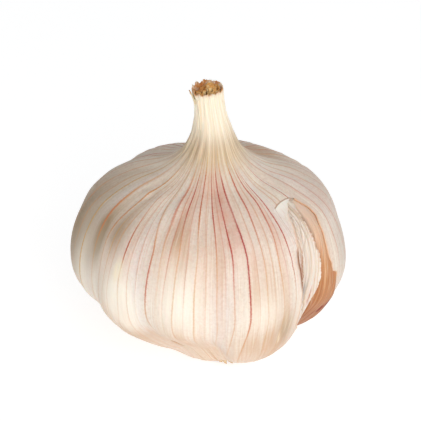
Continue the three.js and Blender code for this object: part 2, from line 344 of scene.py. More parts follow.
# the outer papery skin, open at the tear
wrapper = {
    "thickness": 0.18, "rows": 150, "cellDegrees": 0.66, "tearAngle": 62.0,
    # the tear's two edges from the foot to its tip: profile share, angle
    "rightEdge": [
        (0.13, 74), (0.14, 79), (0.155, 83), (0.175, 85), (0.2, 83), (0.24, 76), (0.26, 72), (0.285, 69.6),
        (0.3, 69), (0.317, 68.8), (0.327, 69), (0.3345, 65.5), (0.354, 65), (0.367, 63.8), (0.385, 62.8),
        (0.43, 62.5), (0.448, 62.8), (0.461, 63.8), (0.476, 64.8), (0.497, 64.8), (0.506, 62.8),
        (0.518, 61.8), (0.524, 61.6),
    ],
    "leftEdge": [
        (0.13, 74), (0.14, 67), (0.16, 61), (0.18, 56.5), (0.2, 53), (0.23, 47.5), (0.27, 41.6), (0.3, 41),
        (0.325, 41.2), (0.354, 41.3), (0.377, 41.2), (0.41, 41), (0.432, 42), (0.463, 43.8), (0.488, 45.8),
        (0.5, 47.8), (0.508, 51.8), (0.515, 53.8), (0.52, 57), (0.524, 61.6),
    ],
    "raggedness": (0.45, 0.4), "tip": 0.524, "foot": 0.13,
    # the crack that runs left from the tip: angle, profile share
    "crack": [(38.5, 0.523), (42.8, 0.5285), (46.8, 0.5335), (50.8, 0.5355), (55.3, 0.5345), (59, 0.531),
              (61.6, 0.524)],
    # lengthwise veins, angle at the belly, then its change towards the neck and towards the foot,
    # ink 0-1, redness 0-1, half width in degrees
    "veins": [
        (72, 1, 0, 0.5, 0.45, 0.5), (80.5, 2, 0, 0.45, 0.5, 0.45), (88, 2, 0, 0.35, 0.35, 0.5),
        (96, 3, 0, 0.45, 0.3, 0.5), (103.5, 3, 0, 0.3, 0.5, 0.4), (112, 2, 0, 0.5, 0.6, 0.5),
        (-112, -6, 0, 0.4, 0.2, 0.5), (-99, -6, 0, 0.5, 0.25, 0.5), (-89, -5, 0, 0.45, 0.3, 0.5),
        (-80, -4, 0, 0.35, 0.2, 0.5), (-73, -4, -3, 0.75, 0.05, 0.5), (-63.5, -3, -2, 0.7, 0.45, 0.65),
        (-55.5, 3, 0, 0.75, 0.35, 0.5), (-50.5, 2, -1, 0.35, 0.1, 0.4), (-46.5, 1, -2, 0.4, 0.2, 0.4),
        (-41, -3, -5, 0.7, 0.6, 0.5), (-36.5, -3, 1, 0.35, 0.4, 0.4), (-32.5, -5, 2, 0.3, 0.4, 0.35),
        (-27.2, -10.3, 7.3, 0.8, 0.62, 0.5), (-23, -3, 3, 0.55, 0.6, 0.5), (-19.5, -2, 3, 0.4, 0.6, 0.4),
        (-15, -4, 3, 0.8, 0.68, 0.5), (-10.5, -4, 1, 0.35, 0.45, 0.35), (-6.5, -3, -1, 0.85, 0.6, 0.45),
        (-2, -3, -1, 0.3, 0.35, 0.35), (2.5, -4, -1, 0.75, 0.7, 0.4), (6, -5, -2, 0.35, 0.5, 0.35),
        (9.5, -5, -3, 0.85, 0.8, 0.42), (16, -5, -4, 0.95, 0.95, 0.48), (20, -2, -3, 0.3, 0.4, 0.35),
        (23.8, 2, -2, 0.7, 0.6, 0.4), (27.5, 3, -3, 0.35, 0.3, 0.35), (31.3, 4, -3, 0.7, 0.62, 0.45),
        (34, 5, -2, 0.4, 0.55, 0.35), (37.4, 3, -2, 0.85, 0.8, 0.45), (45.5, 2, 0, 0.5, 0.25, 0.4),
        (50, 2, 0, 0.45, 0.2, 0.4), (58, 2, 0, 0.6, 0.65, 0.45),
    ],
    # veins that are red only for a stretch: angle at the belly, then that stretch's height and spread
    "reddest": {
        9.5: (40, 13), 16: (36, 15), -63.5: (38, 5), -55.5: (40, 6), -41: (36, 6.5), -27.2: (31, 8),
        -20: (38, 9), 37.4: (38, 9), 58: (44, 5), -6.5: (45, 4.5), -15: (43.5, 4.5), -23: (43, 4),
        2.5: (44, 7), 23.8: (44, 8), 31.3: (43, 8),
    },
    "backVeins": {"from": 119, "to": 242, "step": 6.2, "seed": 11},
    "veinHeight": 0.1,
    # spots from here on: angle, height, angle width, height width, strength; knots rise by that many mm
    "knots": [(-56, 43.2, 3.4, 0.5, 0.35), (-50, 43.0, 2.5, 0.4, -0.15), (-95, 38, 3, 0.8, 0.2)],
    # pale: painted highlights on the rounds of the lobes, and worn places
    "pale": [
        (-13, 27, 10, 8, 1.0), (-44, 25, 10, 8, 1.0), (22, 24, 8, 6, 0.6), (-37, 21, 6, 7, 1.0),
        (-72, 20, 7, 14, 0.8), (-60, 22, 4, 10, 0.5), (42, 22, 6, 10, 0.5), (84, 27, 14, 9, 0.1),
        (98, 45.5, 22, 2.5, 0.5), (-90, 45.6, 14, 1.6, 0.4), (39, 44.5, 8, 2.5, 0.4),
    ],
    "scrape": [(-42.6, 31.8, 1.9, 1.5, 1.0), (-42.2, 29.8, 1.7, 1.5, 1.0), (33, 20, 0.5, 3, 0.6),
               (36, 17, 0.4, 3, 0.6), (30, 15, 0.4, 2.5, 0.5), (-12, 12, 1.5, 1.5, 0.4)],
    # blush and tan: soft stains that keep to the lanes between the veins; the tan spots low on the lobes and
    # at the back right of the shoulder are painted shade
    "blush": [
        (9, 45.2, 6, 3.6, 1.0), (11, 40.5, 5, 4, 0.9), (-19, 43, 3.6, 2.8, 0.55), (20, 35, 5, 5, 0.25),
        (-10, 44.5, 4, 3.5, 0.5), (-2, 46.2, 3, 2.4, 0.7), (28, 43, 6, 4, 0.55), (36, 40, 5, 5, 0.45),
        (-45, 33, 10, 7, 0.35), (84, 40, 12, 5, 0.3), (-8, 36, 34, 9, 0.22), (-15, 12, 7, 4, 0.5),
        (31, 12, 8, 5, 0.4),
    ],
    "tan": [
        (-16.5, 39.6, 4.4, 3.2, 0.75), (-22, 34, 8, 6, 0.35), (-64, 30, 8, 9, 0.5), (22, 30, 8, 6, 0.3),
        (2, 36, 5, 5, 0.25), (-46, 21, 8, 6, 0.5), (30, 22, 12, 10, 0.4), (4, 28, 6, 8, 0.25),
        (27, 30, 5, 5, 0.3), (33, 9, 9, 6, 0.8), (22, 16, 9, 5, 0.9), (18, 28, 5, 6, 0.4),
        (-43.5, 24, 3, 6, 0.5), (-12, 36, 5, 4, 0.4), (-14, 19, 6, 3.5, 0.4), (129, 44.8, 18, 2.4, 0.9),
        (-37, 12, 9, 3.5, 0.8), (-59, 13, 7, 4, 0.3), (-47, 23, 5, 5, 0.5), (33, 18, 5, 4.5, 1.0),
        (26, 14, 7, 3.5, 0.5), (-13, 15.5, 8, 3, 0.35), (-13, 8, 9, 3, 0.5), (9, 8, 8, 3, 0.3),
    ],
    # painted shade: olive brown, mostly on the side away from the light, with a few spots low on the lobes
    "painted_shade": [
        (34, 17, 5, 5, 0.7), (-38, 12, 8, 3, 0.3), (78, 27, 8, 8, 0.2), (-72, 34, 5, 6, 0.5),
        (-84, 31, 12, 12, 0.75), (-118, 35, 40, 11, 0.42), (-62, 34, 4.2, 6.5, 1.3),
        (-50, 37, 6, 4.5, 0.75), (-68, 28, 3, 4, 0.4), (-74, 24, 5, 5, 0.4), (130, 45, 26, 3, 0.3),
        (-40, 26, 4, 5, 0.15), (95, 26, 16, 16, 0.3),
    ],
    # cool valleys between the lobes: angle, width, heights between which they fade out, strength
    "cool": [(-33, 4, 36, 44, 1.0), (4.5, 5, 26, 38, 1.0), (42, 6, 70, 80, 0.8), (-67, 3.5, 70, 80, 0.9),
             (82, 16, 70, 80, 0.5)],
    "look": {
        "noises": {
            "streaks": ("fibre", 2.2, 4, 0.6, 0.08), "fine": ("fibre", 6.0, 3, 0.6, 0.05),
            "hair": ("fibre", 3.4, 2, 0.5, 0.02), "neckFibre": ("fibre", 0.62, 4, 0.7, 0.05),
            "cloud": ("place", 95, 4, 0.55), "mottle": ("place", 420, 4, 0.65),
            "grain": ("place", 1500, 3, 0.7), "wobble": ("place", 2600, 3, 0.6),
        },
        "masks": {
            "blushed": ("MULTIPLY", "blush", ("mottle", 0.3, 0.62, 0.55, 1)),
            # tan stains, and painted shade low on the lobes, streaked along the fibres
            "streaked_tan_and_shade": ("MULTIPLY", "tan", ("streaks", 0.3, 0.6, 0.4, 1)),
            # darker streaks towards the foot: the skin's tan there, and painted shade
            "lowStreaks": ("MULTIPLY", "foot", ("streaks", 0.3, 0.65, 0.2, 0.65)),
            "cutEdge": ("MULTIPLY", "cutRim", ("mottle", 0.35, 0.55, 0, 1)),
            "roughLine": ("ADD", "line", ("wobble", 0.3, 0.7, -0.2, 0.2)),
            "vein": ("MULTIPLY", "ink", ("roughLine", 0.16, 0.8, 0, 1)),
            "crackLine": ("MULTIPLY", ("rift", -0.2, -0.08, 0, 1), ("rift", 0.2, 0.08, 0, 1)),
        },
        "tones": {
            "neckTone": [(254, 248, 232), ("neckFibre", 0.35, 0.65, 1, (240, 222, 193))],
            "collarTone": [(232, 212, 180), ("neckFibre", 0.38, 0.62, 1, (182, 154, 120))],
            "veinTone": [(206, 160, 84), ("red", 0, 0.35, 1, (202, 132, 74)),
                         ("red", 0.35, 0.65, 1, (186, 86, 68)), ("red", 0.65, 1, 1, (168, 62, 60))],
        },
        "coats": [
            (236, 222, 207), ("cool", 0.85, (228, 221, 219)), ("laneTint", 0.28, (226, 198, 176)),
            ("laneTint", 0, -1, 0.4, (222, 216, 208)), ("streaks", 0.45, 0.75, 0.25, (212, 184, 156)),
            ("cloud", 0.42, 0.7, 0.35, (214, 194, 176)), ("hair", 0.57, 0.68, 0.3, (212, 164, 130)),
            ("hair", 0.43, 0.34, 0.4, (250, 243, 228)), ("grain", 0.5, 0.72, 0.34, (196, 166, 148)),
            ("grain", 0.48, 0.3, 0.3, (248, 242, 234)), ("blushed", 0.7, (214, 130, 100)),
            # the olive coat after the tan is painted shade
            ("streaked_tan_and_shade", 0.85, (190, 144, 102)), ("painted_shade", 0.9, (142, 115, 78)),
            # the pale coat is mostly painted highlight on the rounds of the lobes
            ("pale", 0.8, (253, 246, 232)), ("lowStreaks", 1, (220, 190, 162)),
            # the collar coat darkens a band where the neck meets the shoulders: the skin's tone there, and
            # painted shade
            ("halo", 0.28, (206, 122, 104)), ("neck", 1, "neckTone"), ("collar", 0.85, "collarTone"),
            ("fine", 0.5, 0.8, 0.12, (190, 158, 128)), ("vein", 0, 0.833, 1, "veinTone"),
            ("scrape", 1, (246, 234, 206)), ("torn", 0.7, (224, 164, 112)), ("cutEdge", 1, (196, 132, 70)),
            # painted light: the sunk flap below the crack is lightened against its own shade
            ("flap", 0.9, (250, 243, 234)), ("crackLine", 0.75, (166, 122, 88)),
            ("burnt", 1, (136, 80, 42)),
        ],
        "relief": {"fine": 0.5, "streaks": 0.6, "mottle": 0.25}, "bump": (0.5, 0.12),
        "roughness": ("mottle", 0.3, 0.7, 0.5, 0.66),
        "sockets": {"Specular IOR Level": 0.35, "Subsurface Weight": 0.08, "Subsurface Scale": 0.0008},
    },
}


def allVeins():
    # the listed veins and seeded ones round the back, once round in order from the tear
    back = wrapper["backVeins"]
    rng = np.random.default_rng(back["seed"])
    angles = np.arange(back["from"], back["to"], back["step"])
    angles = angles + rng.uniform(-1.6, 1.6, len(angles))
    draw = rng.uniform
    rows = [(a, draw(-2, 2), 0, draw(0.25, 0.9), draw(0.15, 0.9), draw(0.35, 0.55)) for a in angles]
    table = np.array(wrapper["veins"] + rows)
    table[:, 0] = (table[:, 0] - wrapper["tearAngle"]) % 360 + wrapper["tearAngle"]
    return table[np.argsort(table[:, 0])]


def edgeAngles(t, key, seed, roughness):
    # a torn edge: straight between its points, with a fine raggedness along it
    at, angle = np.array(wrapper[key]).T
    fine = 0.6 * ragged(t, seed, 160) + 0.4 * ragged(t, seed + 1, 70)
    closing = smooth(t, at[0], at[0] + 0.02) * smooth(t, at[-1], at[-1] - 0.006)
    return np.interp(t, at, angle) + roughness * fine * closing


def wrapperRows():
    # profile shares at even steps of arc length, with a pair of rows close together at the crack
    fine = np.linspace(0, 1, 2000)
    length = np.concatenate([[0], np.cumsum(np.linalg.norm(np.diff(crestAt(fine), axis=0), axis=1))])
    t = np.interp(np.linspace(0, length[-1], wrapper["rows"]), length, fine)
    for share in (wrapper["foot"], wrapper["tip"]):
        t[np.argmin(np.abs(t - share))] = share
    tip = int(np.argmin(np.abs(t - wrapper["tip"])))
    t[tip - 1] = wrapper["tip"] - 0.0022
    return t, tip, int(np.argmin(np.abs(t - wrapper["foot"])))


def wrapperColumns(t):
    # Angles of a grid whose columns run along the veins: between two anchors the columns are even,
    # with one narrow column on each side of every vein. Returns the angles and each column's vein values.
    veins = allVeins()
    profile = crestAt(t)
    z = profile[:, 1]
    neck, foot = smooth(z, 36, 49), smooth(z, 24, 6)
    right = edgeAngles(t, "rightEdge", 21, wrapper["raggedness"][0])[:, None]
    left = 360 + edgeAngles(t, "leftEdge", 31, wrapper["raggedness"][1])[:, None]
    natural = veins[:, 0] + np.outer(neck, veins[:, 1]) + np.outer(foot, veins[:, 2])
    count = len(veins)
    order = np.arange(count)
    rng = np.random.default_rng(12)
    for turns, sway in ((1.6, 0.32), (3.7, 0.2), (9.0, 0.07)):
        natural = natural + sway * np.sin(2 * np.pi * turns * t[:, None] + rng.uniform(0, 2 * np.pi, count))
    main = smooth(veins[:, 3], 0.55, 0.85)
    lowInk = main + (1 - main) * rng.uniform(0.15, 0.7, count)
    inkAt = veins[:, 3] * (1 - np.outer(smooth(z, 34, 24), 1 - lowInk))
    redAt = veins[:, 4] + 0 * z[:, None]
    for where, (level, spread) in wrapper["reddest"].items():
        i = np.argmin(np.abs(turned(veins[:, 0], where)))
        inkAt[:, i] *= 0.5 + 0.6 * bell(z, level, spread)
        redAt[:, i] *= 0.35 + 0.65 * bell(z, level, spread)
    # veins give way to the tear's edges, and fade where they have been pushed aside
    held = np.minimum(np.maximum(natural, right + 0.8 * (order + 1)), left - 0.9 * (count - order))
    fade = smooth(np.abs(held - natural), 2.5, 0.4)
    anchors = np.concatenate([right, held, left], axis=1)
    middle = np.concatenate([[wrapper["tearAngle"] + 2], veins[:, 0], [wrapper["tearAngle"] + 360]])
    widen = np.minimum(bulb["belly"] / profile[:, :1], 2.6) ** 0.75
    columns, line, ink, red, side, lane = [], [], [], [], [], []
    for i in range(count + 1):
        a, b = anchors[:, i], anchors[:, i + 1]
        gap = middle[i + 1] - middle[i]
        cells = max(4, round(gap / wrapper["cellDegrees"]))
        narrowA = np.minimum(veins[i - 1, 5] / gap * widen, 0.3) if i > 0 else 1 / cells + 0 * widen
        narrowB = np.minimum(veins[i, 5] / gap * widen, 0.3) if i < count else 1 / cells + 0 * widen
        between = narrowA + (1 - narrowA - narrowB) * np.linspace(0, 1, cells - 1)
        for j, s in enumerate(np.concatenate([0 * widen, between], axis=1).T):
            beside = (j == 1 and i > 0) or (j == cells - 1 and i < count)
            nearest = min(max(i - 1 + (2 * j > cells), 0), count - 1)
            columns.append(a + (b - a) * s)
            line.append((1.0 if j == 0 and i > 0 else 0.15 if beside else 0.0) + 0 * z)
            ink.append(fade[:, nearest] * inkAt[:, nearest])
            red.append(redAt[:, nearest])
            side.append(np.sin(np.pi * s))
            lane.append((middle[i] + middle[i + 1]) / 2 + 0 * z)
    columns.append(anchors[:, -1])
    for values, end in ((line, 0 * z), (side, 0 * z), (ink, ink[-1]), (red, red[-1]), (lane, lane[-1])):
        values.append(end)
    return [np.stack(v, axis=1) for v in (columns, line, ink, red, side, lane)]


def unevenness(angle, share, z):
    # slow swellings of the skin: two sums of waves, the one fading out at the collar, the other at the foot
    slow = 0.16 * smooth(z, 50, 42) * waves(angle, share, 5, (3, 9), (1, 3))
    return slow + 0.05 * waves(angle, share, 8, (8, 24), (4, 9), 14) * smooth(z, 4, 14)


def wrapperRelief(angle, t, z, ink, side):
    # height over the plain form: vein ridges, slack lanes between them, fibres, folds of the neck and a
    # slow unevenness
    neck = smooth(z, 43, 53)
    body = smooth(z, 50, 42)
    relief = wrapper["veinHeight"] * ink * (0.4 + 0.6 * body)
    relief += 0.05 * side * body * waves(angle, t, 3, (5, 16), (0.3, 1.2))
    relief += 0.012 * waves(angle, t, 4, (90, 190), (0.2, 1.5), 16)
    relief += unevenness(angle, t, z) + spots(wrapper["knots"], angle, z)
    for size, *settings in ((0.5, 6, (9, 16), (0.1, 0.3), 5), (0.55, 7, (22, 34), (0.1, 0.5), 6),
                            (0.45, 9, (44, 70), (0.1, 0.6), 10)):
        relief += 0.045 * size * waves(angle, t, *settings) * neck * (1 - 0.5 * bell(z, 48, 4.5))
    return relief - 0.3 * smooth(z, 54, 62)


def wrapperGrid():
    # the wrapper's form on rows and columns of its own, bent along the crack, raised by the relief and
    # curled along the torn edges, with the values that its paint starts from
    t, tipRow, footRow = wrapperRows()
    angle, line, ink, red, side, lane = wrapperColumns(t)
    tip, local, fromLeft = wrapper["tip"], angle - 360, angle > 180
    crackAngle, crackShare = np.array(wrapper["crack"]).T
    rise = np.where(fromLeft, np.interp(local, crackAngle, crackShare) - tip, 0) * smooth(local, 28, 38.5)
    shares = t[:, None] + 0 * angle
    shares = shares + rise * bell(shares, tip, 0.035)
    radius, z = wrapperForm(angle, shares)
    profileZ = crestAt(shares)[..., 1]
    points = about(angle, radius, z)
    # the flap under the crack has sunk, and the torn edges lift a little
    order = np.arange(len(t))
    below = (order < tipRow)[:, None] * fromLeft
    flap = below * smooth(local, 38.5, 46) * np.exp(-(tip - shares) / 0.03)
    openRows = (order > footRow) & (order < tipRow)
    toRight = np.radians(angle - angle[:, :1]) * radius
    toLeft = np.radians(angle[:, -1:] - angle) * radius
    curl = openRows[:, None] * (0.04 * np.exp(-toRight / 0.8) + 0.14 * np.exp(-toLeft / 0.8))
    relief = wrapperRelief(angle, shares, profileZ, ink * line, side) - 0.03 * flap + curl
    # distance in mm from the crack, of the crest's 95 mm, and far away where there is none
    rift = np.clip((shares - rise - tip + 0.0011) * 95, -3, 3)
    layers = {
        "line": line, "ink": ink, "red": red, "side": side, "lane": lane, "height": profileZ,
        "bearing": angle, "share": shares, "flap": flap,
        "rift": rift + 4 * smooth(local, 43, 41) + 4 * ~fromLeft,
        "torn": openRows[:, None] * np.maximum(np.exp(-toRight / 0.35), np.exp(-toLeft / 0.35)),
        "burnt": openRows[:, None] * bell(toLeft, 0, 0.5) * smooth(shares, 0.34, 0.355) *
        smooth(shares, 0.44, 0.42),
    }
    return points + normals(points) * relief[..., None], layers, openRows


def edgeLips(points):
    # three columns outside each edge: down the paper's thickness, back under it, then deep and further back
    down = -normals(points) * wrapper["thickness"]
    grids = []
    for edge, inner in ((0, 6), (-1, -7)):
        side, back = points[:, edge], unit(points[:, inner] - points[:, edge])
        steps = ((1, 0), (1.2, 0.8), (3.8, 1.4))
        grids.append(np.stack([side + down[:, edge] * depth + back * width for depth, width in steps], 1))
    return np.concatenate([grids[0][:, ::-1], points, grids[1]], axis=1)


def neckRim(points, layers):
    # the cut at the top of the neck: a slanted and uneven height, reached smoothly over the last 4 mm
    angle = layers["bearing"]
    cut = -0.35 - 0.45 * bell(turned(angle, -35), 0, 60) + 0.4 * bell(turned(angle, 150), 0, 70)
    for size, seed, around in ((0.16, 41, (5, 14)), (0.07, 42, (25, 60))):
        cut = cut + size * waves(angle, 0, seed, around, (0, 0.1))
    points[..., 2] += cut * smooth(layers["height"], 61, 65)
    return points


def makeWrapper(paint):
    # the grid with its lips, rings over the neck's rim and down inside it, and rings under the foot's rim
    points, layers, openRows = wrapperGrid()
    body = edgeLips(neckRim(points, layers))
    top, bottom = body[-1], body[0]
    height = top[:, 2]
    inward = unit(np.stack([axisShift(height), 0 * height, height], -1) - top)
    over = [top + inward * step + np.array([0, 0, up]) for step, up in ((0.16, -0.02), (0.3, -1), (0.7, -4))]
    for ring in over:
        ring[:, 0] += axisShift(ring[:, 2]) - axisShift(height)
    inside = unit(-bottom * [1, 1, 0])
    under = [bottom + inside * step + np.array([0, 0, up]) for step, up in ((0.4, 1.6), (0.18, 0.15))]
    grid = np.concatenate([np.stack(under), body, np.stack(over)], axis=0)
    layers = paintLayers({key: np.pad(v, ((2, 3), (3, 3)), "edge") for key, v in layers.items()})
    # off the tear both edges meet and there are no lips
    shut = ~np.pad(openRows, (2, 3))
    last = grid.shape[1] - 1
    keep = np.ones((len(grid) - 1, last), bool)
    lipless = shut[:-1] & shut[1:]
    keep[lipless, :3] = keep[lipless, -3:] = False
    grid[shut, :3] = grid[shut, 3:4]
    grid[shut, -3:] = grid[shut, -4:-3]
    joined = [(3, column, shut) for column in (last - 3, 0, 1, 2, last, last - 1, last - 2)]
    return gridPiece("outer_wrapper", "wrapper", paint, grid, layers, keep=keep, joined=joined)


def paintLayers(wide):
    # masks that the wrapper's paint mixes by: where veins, blush, tan, painted shade, painted highlights,
    # cool valleys and so on lie
    angle, z, share = wide["bearing"], wide["height"], wide["share"]
    local = turned(angle, 0)
    homes, laneIds = np.unique(wide["lane"], return_inverse=True)
    laneTint = np.random.default_rng(51).uniform(-1, 1, len(homes))[laneIds.reshape(z.shape)]
    panel = 0.8 * turned(wide["lane"], 0) + 0.2 * local
    tinted = 0.85 + 0.25 * laneTint
    reddening = smooth(z, 50, 46.5)
    ink = wide["ink"] * (0.75 + 0.25 * reddening) * (0.75 + 0.25 * smooth(z, 10, 26))
    masks = {
        "ink": ink * smooth(z, 54, 49.5) * (0.9 + 0.12 * waves(angle, share, 52, (30, 90), (2, 6))),
        "blush": spots(wrapper["blush"], panel, z) * tinted, "tan": spots(wrapper["tan"], panel, z) * tinted,
        "pale": spots(wrapper["pale"], local, z), "painted_shade": spots(wrapper["painted_shade"], local, z),
        "scrape": spots(wrapper["scrape"], local, z) * (0.8 + 0.4 * waves(angle, share, 53, (60, 160),
                                                                          (4, 12))),
        "cool": sum(strength * bell(local, at, width) * smooth(z, high, low)
                    for at, width, low, high, strength in wrapper["cool"]),
    }
    masks = {key: np.clip(values, 0, 1) for key, values in masks.items()}
    masks |= {key: wide[key] for key in ("line", "torn", "rift", "burnt", "flap")}
    return masks | {
        "red": wide["red"] * reddening * (0.75 + 0.25 * smooth(z, 10, 30)),
        "halo": np.clip(1 - wide["side"], 0, 1) ** 4 * wide["red"] * reddening * smooth(z, 24, 40),
        "laneTint": laneTint * smooth(z, 52, 44), "neck": smooth(z, 50.5, 55.5),
        "collar": bell(z, 51, 3.8), "foot": smooth(z, 26, 9), "cutRim": smooth(z, 63.7, 64.55),
        "fibre": fibreOf(angle, share),
    }


print("wrapper: veined skin with its tear")
outerWrapper = makeWrapper(makePaint("striped_wrapper", wrapper["look"]))
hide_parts("wrapped_bulb")


def underWrapper(angle, share, depth):
    # points at a depth under the uneven wrapper, measured along its normal
    def point(a, t):
        radius, z = wrapperForm(a, t)
        return about(a, radius, z)
    here = point(angle, share)
    n = unit(np.cross(point(angle + 0.4, share) - here, point(angle, share + 0.002) - here))
    return here - n * (depth - unevenness(angle, share, crestAt(share)[..., 1]))[..., None]


def radiusAt(angle, z):
    # the uneven wrapper's radius at angles and real heights: the profile share is found by halving
    angle, z = np.broadcast_arrays(angle, z)
    low, high = np.zeros(z.shape), np.ones(z.shape)
    for _ in range(18):
        middle = (low + high) / 2
        under = wrapperForm(angle, middle)[1] < z
        low, high = np.where(under, middle, low), np.where(under, high, middle)
    return wrapperForm(angle, low)[0] + unevenness(angle, low, z)


# the white sheet in the tear, a shred of it along the wrapper's left edge, and the pocket behind them
innerSkin = {
    "left": 35.0,
    # its ragged right edge: profile share, angle
    "edge": [
        (0.2, 44), (0.25, 49.5), (0.28, 53.2), (0.305, 55.8), (0.335, 57.2), (0.366, 57.3), (0.384, 56.7),
        (0.41, 55.2), (0.434, 54), (0.455, 53.5), (0.478, 53.8), (0.495, 54.8), (0.508, 56.4),
        (0.518, 58.6), (0.526, 61.5), (0.53, 62.5),
    ],
    # lengthwise creases: angle low down, lean above the middle, width in degrees, strength
    "creases": [(43.9, 42, 0.24, 1.0), (45.2, 50, 0.2, 0.5), (46.4, 56, 0.3, 0.7), (47.6, 70, 0.2, 0.8),
                (49.2, 62, 0.25, 0.35), (50.3, 55, 0.2, 0.5)],
    "depth": 0.55, "thickness": 0.1, "shredLeft": 38.5, "shredThickness": 0.09,
    "shred": [(0.345, 41.6), (0.37, 42.6), (0.4, 43.4), (0.43, 44.4), (0.46, 46), (0.48, 47.6),
              (0.497, 50.5)],
    # rows, columns, crowding towards the right edge, its coarse and fine raggedness: size, seed, steps
    "sheetGrid": (190, 110, 1.5, (0.4, 61, 110), (0.35, 62, 45)),
    "shredGrid": (90, 14, 1, (0.35, 66, 60), (0.25, 67, 24)),
    "look": {
        "noises": {"streaks": ("fibre", 1.6, 4, 0.6, 0.06), "fine": ("fibre", 5.0, 3, 0.6, 0.05)},
        "coats": [
            (239, 224, 214), ("streaks", 0.4, 0.7, 1, (216, 186, 158)),
            ("fine", 0.52, 0.7, 0.3, (214, 176, 134)), ("fine", 0.46, 0.34, 0.3, (250, 246, 240)),
            # the hollow coat is painted shade: grey where the sheet sinks away, and over the pocket behind
            ("line", 0.75, (158, 118, 82)), ("hollow_shade", 0, 1.18, 1, (122, 108, 102)),
            ("sliver", 0.9, (190, 104, 54)), ("torn", 1, (162, 100, 60)),
        ],
        "relief": {"streaks": 1, "fine": 0.5}, "bump": (0.4, 0.1), "roughness": 0.42,
        "sockets": {"Specular IOR Level": 0.45, "Subsurface Weight": 0.1, "Subsurface Scale": 0.001},
    },
}


def leaf(left, edge, rows, columns, crowding, coarse, fine):
    # profile shares and angles of a grid between a straight left side and a ragged right edge, each point's
    # share of the way across, and its distance from that edge in mm
    at, edge = np.array(innerSkin[edge]).T
    share = np.linspace(at[0], at[-1], rows)[:, None] + np.zeros((1, columns))
    right = np.interp(share, at, edge)
    for size, seed, steps in (coarse, fine):
        right = right + size * ragged(share, seed, steps)
    across = 1 - (1 - np.linspace(0, 1, columns)) ** crowding
    angle = innerSkin[left] + (right - innerSkin[left]) * across
    return share, angle, across, np.radians(right - angle) * 30


def innerSkinGrid():
    # lengthwise folds in a sheet that follows the wrapper a little below it, its right edge turned up
    share, angle, _, fromEdge = leaf("left", "edge", *innerSkin["sheetGrid"])
    arc = angle - innerSkin["left"]
    folds = 0.1 * np.cos(arc * 0.9 + 3 * share) + 0.05 * np.cos(arc * 2.1 - 6 * share + 1)
    folds = folds + 0.05 * waves(angle, share, 63, (60, 140), (0.5, 2), 16)
    crease = 0
    for place, lean, width, strength in innerSkin["creases"]:
        crease = crease + strength * bell(angle, place + lean * np.maximum(share - 0.42, 0), width)
    folds = folds + 0.16 * crease * (1 - 0.6 * smooth(share, 0.42, 0.49))
    depth = innerSkin["depth"] + folds * smooth(fromEdge, 0, 2.5) - 0.45 * np.exp(-fromEdge / 0.6)
    depth = depth + 2.0 * smooth(share, 0.38, 0.24) * smooth(fromEdge, 0.5, 4)
    uneven = 0.8 + 0.3 * waves(angle, share, 65, (90, 200), (0.5, 2))
    return underWrapper(angle, share, depth), {
        "torn": bell(fromEdge, 0, 0.28) * bell(share, 0.425, 0.035) * (0.75 + 0.25 * ragged(share, 64, 60)),
        # painted shade in the hollow where the sheet's lower end sinks away
        "hollow_shade": 1.3 * bell(share, 0.318, 0.025) * bell(angle, 46.8, 3.0) * uneven,
        "sliver": bell(angle, 52.7 + 30 * (share - 0.3), 0.6) * smooth(share, 0.272, 0.3) *
        smooth(share, 0.335, 0.3),
        # the creases are painted brown: lines in the skin, and painted shade in the creases
        "line": np.clip(crease, 0, 1), "fibre": fibreOf(angle, share),
    }


def shredGrid():
    # a narrow leaf of skin that has come away beside the wrapper's left edge
    share, angle, across, fromEdge = leaf("shredLeft", "shred", *innerSkin["shredGrid"])
    depth = 0.42 - 0.3 * across ** 3 + 0.08 * waves(angle, share, 68, (30, 60), (2, 5))
    return underWrapper(angle, share, depth), {
        "torn": bell(fromEdge, 0, 0.3) * smooth(share, 0.44, 0.4),
        "line": bell(across, 0.62, 0.05) + bell(across, 0.82, 0.04) + 0.7 * bell(across, 0.42, 0.04),
        "hollow_shade": 0, "sliver": 0, "fibre": fibreOf(angle, share),
    }


print("inner skin: folded sheet and shred")
skinPaint = makePaint("white_inner_skin", innerSkin["look"])
innerSheet = gridPiece("inner_skin_sheet", "inner_skin", skinPaint, *innerSkinGrid())
thicken(innerSheet, innerSkin["thickness"])
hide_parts("inner_skin")
thicken(gridPiece("inner_skin_shred", "inner_skin", skinPaint, *shredGrid()), innerSkin["shredThickness"])


